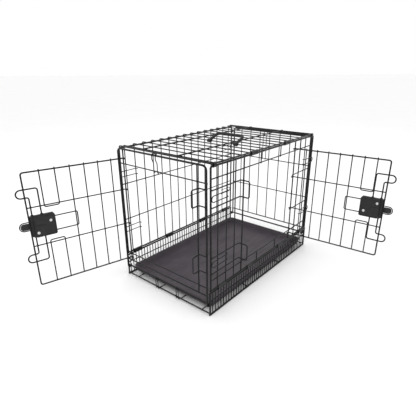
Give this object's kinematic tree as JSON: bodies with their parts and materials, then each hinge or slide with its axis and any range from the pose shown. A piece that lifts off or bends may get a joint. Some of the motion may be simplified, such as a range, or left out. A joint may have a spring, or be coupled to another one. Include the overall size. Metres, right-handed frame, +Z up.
{
  "type": "wire dog crate",
  "caption": "Folding wire dog crate with a door in the front end and one in the long side, slide latches, a sliding floor pan, corner clips and a carrying handle.",
  "frame": {"origin": "on the floor under the middle of the crate's footprint, halfway between the two ends and the two long sides", "axes": "+Z up, the front end with its door faces -Y, the long side with its door faces +X"},
  "size_m": [0.6966, 0.8375, 0.4338],
  "materials": {
    "black_wire": "black electro-coated steel wire, slightly hammered, semi-gloss",
    "sleeve_steel": "black coated sheet steel, semi-gloss",
    "black_plastic": "moulded black plastic, fine texture",
    "pan_plastic": "dark charcoal moulded plastic, satin, slightly purple",
    "rivet_steel": "bright zinc-plated steel"
  },
  "bodies": {
    "base": {"base_corner_posts": "black_wire", "skirt_rails": "black_wire", "far_skirt_bars": "black_wire", "near_skirt_bars": "black_wire", "skirt_sleeves": "sleeve_steel", "base_end_wires": "black_wire", "floor_wires": "black_wire", "front_frame": "black_wire", "front_rails": "black_wire", "front_doorway_wires": "black_wire", "front_keepers": "black_wire"},
    "near_side": {"near_frame": "black_wire", "near_rails": "black_wire", "near_uprights": "black_wire", "near_doorway_wires": "black_wire", "near_keepers": "black_wire"},
    "far_side": {"far_frame": "black_wire", "far_rails": "black_wire", "far_uprights": "black_wire"},
    "top": {"top_border": "black_wire", "top_cross_wires": "black_wire", "top_long_wires": "black_wire", "top_sleeves": "sleeve_steel"},
    "back_end": {"back_frame": "black_wire", "back_rails": "black_wire", "back_uprights": "black_wire"},
    "front_door": {"front_door_frame": "black_wire", "front_door_rails": "black_wire", "front_door_bars": "black_wire", "front_door_short_bars": "black_wire", "front_door_latch_guide": "black_wire"},
    "side_door": {"side_door_frame": "black_wire", "side_door_rails": "black_wire", "side_door_bars": "black_wire", "side_door_short_bars": "black_wire", "side_door_latch_guide": "black_wire"},
    "front_latch": {"front_latch_cover": "black_plastic", "front_latch_back_plate": "black_plastic", "front_latch_rivets": "rivet_steel", "front_latch_bolt_wires": "black_wire", "front_latch_tongue": "black_plastic"},
    "side_latch": {"side_latch_cover": "black_plastic", "side_latch_back_plate": "black_plastic", "side_latch_rivets": "rivet_steel", "side_latch_bolt_wires": "black_wire", "side_latch_tongue": "black_plastic"},
    "near_front_low_clip": {"near_front_low_clip": "black_wire"},
    "near_front_high_clip": {"near_front_high_clip": "black_wire"},
    "near_rear_low_clip": {"near_rear_low_clip": "black_wire"},
    "near_rear_high_clip": {"near_rear_high_clip": "black_wire"},
    "far_front_low_clip": {"far_front_low_clip": "black_wire"},
    "far_front_high_clip": {"far_front_high_clip": "black_wire"},
    "far_rear_low_clip": {"far_rear_low_clip": "black_wire"},
    "far_rear_high_clip": {"far_rear_high_clip": "black_wire"},
    "front_top_hook": {"front_top_hook": "black_wire"},
    "back_top_hook": {"back_top_hook": "black_wire"},
    "pan": {"floor_pan": "pan_plastic"},
    "pan_stop_left": {"pan_stop_left": "black_wire"},
    "pan_stop_right": {"pan_stop_right": "black_wire"},
    "carry_handle": {"carry_handle": "black_plastic"}
  },
  "joints": [
    {"name": "side_fold", "type": "hinge", "parent": "base", "child": "near_side", "pos_m": [0.1689, 0, 0.075], "axis": [0, -1, 0], "range_deg": [0, 88]},
    {"name": "far_side_fold", "type": "hinge", "parent": "base", "child": "far_side", "pos_m": [-0.1689, 0, 0.075], "axis": [0, -1, 0], "range_deg": [0, 88]},
    {"name": "top_hinge", "type": "hinge", "parent": "near_side", "child": "top", "pos_m": [0.1689, 0, 0.407], "axis": [0, -1, 0], "range_deg": [-88, 0]},
    {"name": "back_end_fold", "type": "hinge", "parent": "base", "child": "back_end", "pos_m": [0, 0.2718, 0.05], "axis": [1, 0, 0], "range_deg": [0, 90]},
    {"name": "front_door_hinge", "type": "hinge", "parent": "base", "child": "front_door", "pos_m": [-0.1421, -0.2768, 0], "axis": [0, 0, 1], "range_deg": [-40, 103.9]},
    {"name": "side_door_hinge", "type": "hinge", "parent": "near_side", "child": "side_door", "pos_m": [0.1703, 0.14258, 0], "axis": [0, 0, -1], "range_deg": [-30, 93.4]},
    {"name": "front_latch_slide", "type": "slide", "parent": "front_door", "child": "front_latch", "axis": [-0.2402, -0.9707, 0], "range_m": [-0.003, 0.01]},
    {"name": "side_latch_slide", "type": "slide", "parent": "side_door", "child": "side_latch", "axis": [0.9982, 0.0593, 0], "range_m": [-0.003, 0.01]},
    {"name": "near_front_low_clip_swing", "type": "hinge", "parent": "near_side", "child": "near_front_low_clip", "pos_m": [0.1699, -0.20708, 0], "axis": [0, 0, -1], "range_deg": [-90, 0]},
    {"name": "near_front_high_clip_swing", "type": "hinge", "parent": "near_side", "child": "near_front_high_clip", "pos_m": [0.1699, -0.20708, 0], "axis": [0, 0, -1], "range_deg": [-90, 0]},
    {"name": "near_rear_low_clip_swing", "type": "hinge", "parent": "near_side", "child": "near_rear_low_clip", "pos_m": [0.1699, 0.21381, 0], "axis": [0, 0, 1], "range_deg": [-90, 0]},
    {"name": "near_rear_high_clip_swing", "type": "hinge", "parent": "near_side", "child": "near_rear_high_clip", "pos_m": [0.1699, 0.21381, 0], "axis": [0, 0, 1], "range_deg": [-90, 0]},
    {"name": "far_front_low_clip_swing", "type": "hinge", "parent": "far_side", "child": "far_front_low_clip", "pos_m": [-0.1699, -0.21358, 0], "axis": [0, 0, 1], "range_deg": [-90, 0]},
    {"name": "far_front_high_clip_swing", "type": "hinge", "parent": "far_side", "child": "far_front_high_clip", "pos_m": [-0.1699, -0.21358, 0], "axis": [0, 0, 1], "range_deg": [-90, 0]},
    {"name": "far_rear_low_clip_swing", "type": "hinge", "parent": "far_side", "child": "far_rear_low_clip", "pos_m": [-0.1699, 0.21381, 0], "axis": [0, 0, -1], "range_deg": [-90, 0]},
    {"name": "far_rear_high_clip_swing", "type": "hinge", "parent": "far_side", "child": "far_rear_high_clip", "pos_m": [-0.1699, 0.21381, 0], "axis": [0, 0, -1], "range_deg": [-90, 0]},
    {"name": "front_top_hook_swing", "type": "hinge", "parent": "base", "child": "front_top_hook", "pos_m": [0, -0.2733, 0.3663], "axis": [-1, 0, 0], "range_deg": [-80, 0]},
    {"name": "back_top_hook_swing", "type": "hinge", "parent": "back_end", "child": "back_top_hook", "pos_m": [0, 0.2733, 0.3016], "axis": [1, 0, 0], "range_deg": [-80, 0]},
    {"name": "pan_slide", "type": "slide", "parent": "base", "child": "pan", "axis": [0, -1, 0], "range_m": [-0.48, 0]},
    {"name": "pan_stop_left_flip", "type": "hinge", "parent": "base", "child": "pan_stop_left", "pos_m": [0, -0.2718, 0.0062], "axis": [-1, 0, 0], "range_deg": [-85, 0]},
    {"name": "pan_stop_right_flip", "type": "hinge", "parent": "base", "child": "pan_stop_right", "pos_m": [0, -0.2718, 0.0062], "axis": [-1, 0, 0], "range_deg": [-85, 0]},
    {"name": "handle_lift", "type": "hinge", "parent": "top", "child": "carry_handle", "pos_m": [0, -0.0355, 0.4118], "axis": [-1, 0, 0], "range_deg": [-75, 0]}
  ],
  "couplings": [
    {"joint": "far_side_fold", "follows": "side_fold", "ratio": 1},
    {"joint": "top_hinge", "follows": "side_fold", "ratio": -1}
  ]
}
